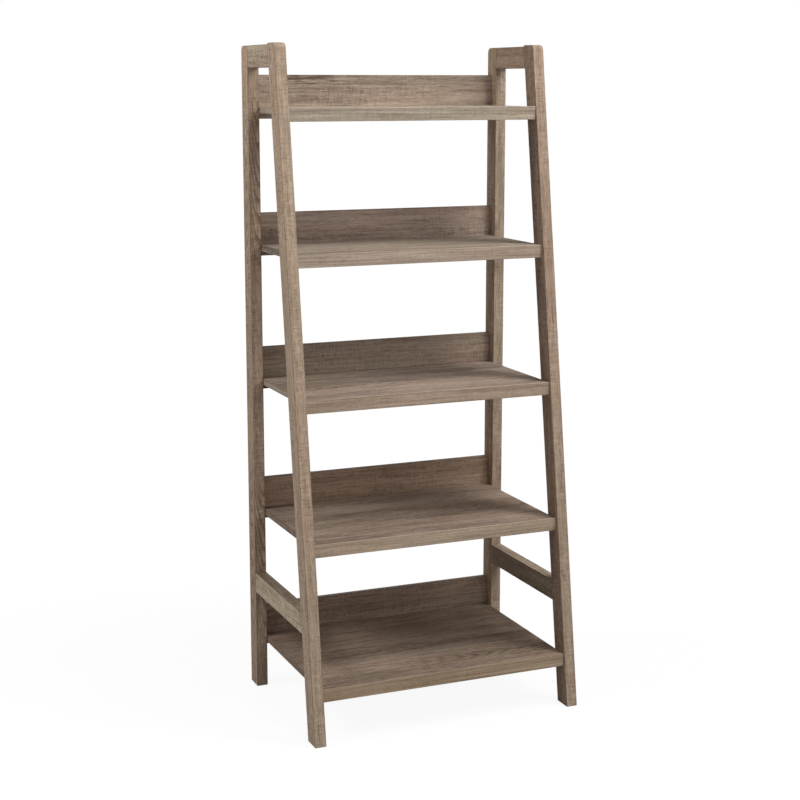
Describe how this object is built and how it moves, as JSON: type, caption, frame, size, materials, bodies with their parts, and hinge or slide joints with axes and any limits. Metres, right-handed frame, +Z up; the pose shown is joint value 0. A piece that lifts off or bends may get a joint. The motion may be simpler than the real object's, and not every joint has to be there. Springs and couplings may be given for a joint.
{
  "type": "ladder shelf",
  "caption": "Open ladder bookcase with raked front legs, shelves that grow deeper towards the floor, a low back rail behind each shelf and a grey-brown oak finish.",
  "frame": {"origin": "on the floor at the middle of the overall box", "axes": "+X along the shelves towards the right-hand frame seen from the front, -Y the open front, +Z up"},
  "size_m": [0.654, 0.4572, 1.5273],
  "materials": {
    "frame_wood": "grey-brown oak grain along each piece, satin",
    "shelf_wood": "grey-brown oak grain along the shelf, satin",
    "edging": "grey-brown oak edging, satin",
    "rail_wood": "grey-brown oak grain along the rail, satin",
    "dowel_wood": "plain beech, fluted look left to the scene",
    "zinc_plated_steel": "bright zinc plate",
    "zinc_alloy": "as-cast zinc alloy, dull"
  },
  "bodies": {
    "root": {"left_front_leg": "frame_wood", "left_rear_leg": "frame_wood", "left_top_rail": "frame_wood", "left_stretcher": "frame_wood", "right_front_leg": "frame_wood", "right_rear_leg": "frame_wood", "right_top_rail": "frame_wood", "right_stretcher": "frame_wood", "shelf_1_board": "shelf_wood", "shelf_1_batten": "shelf_wood", "shelf_1_edging": "edging", "shelf_1_back_rail": "rail_wood", "shelf_2_board": "shelf_wood", "shelf_2_batten": "shelf_wood", "shelf_2_edging": "edging", "shelf_2_back_rail": "rail_wood", "shelf_3_board": "shelf_wood", "shelf_3_batten": "shelf_wood", "shelf_3_edging": "edging", "shelf_3_back_rail": "rail_wood", "shelf_4_board": "shelf_wood", "shelf_4_batten": "shelf_wood", "shelf_4_edging": "edging", "shelf_4_back_rail": "rail_wood", "shelf_5_board": "shelf_wood", "shelf_5_batten": "shelf_wood", "shelf_5_edging": "edging", "shelf_5_back_rail": "rail_wood", "frame_dowels": "dowel_wood", "shelf_end_dowels": "dowel_wood", "rail_end_dowels": "dowel_wood", "board_dowels": "dowel_wood", "cam_bolts": "zinc_plated_steel", "cam_locks": "zinc_alloy"}
  },
  "joints": []
}
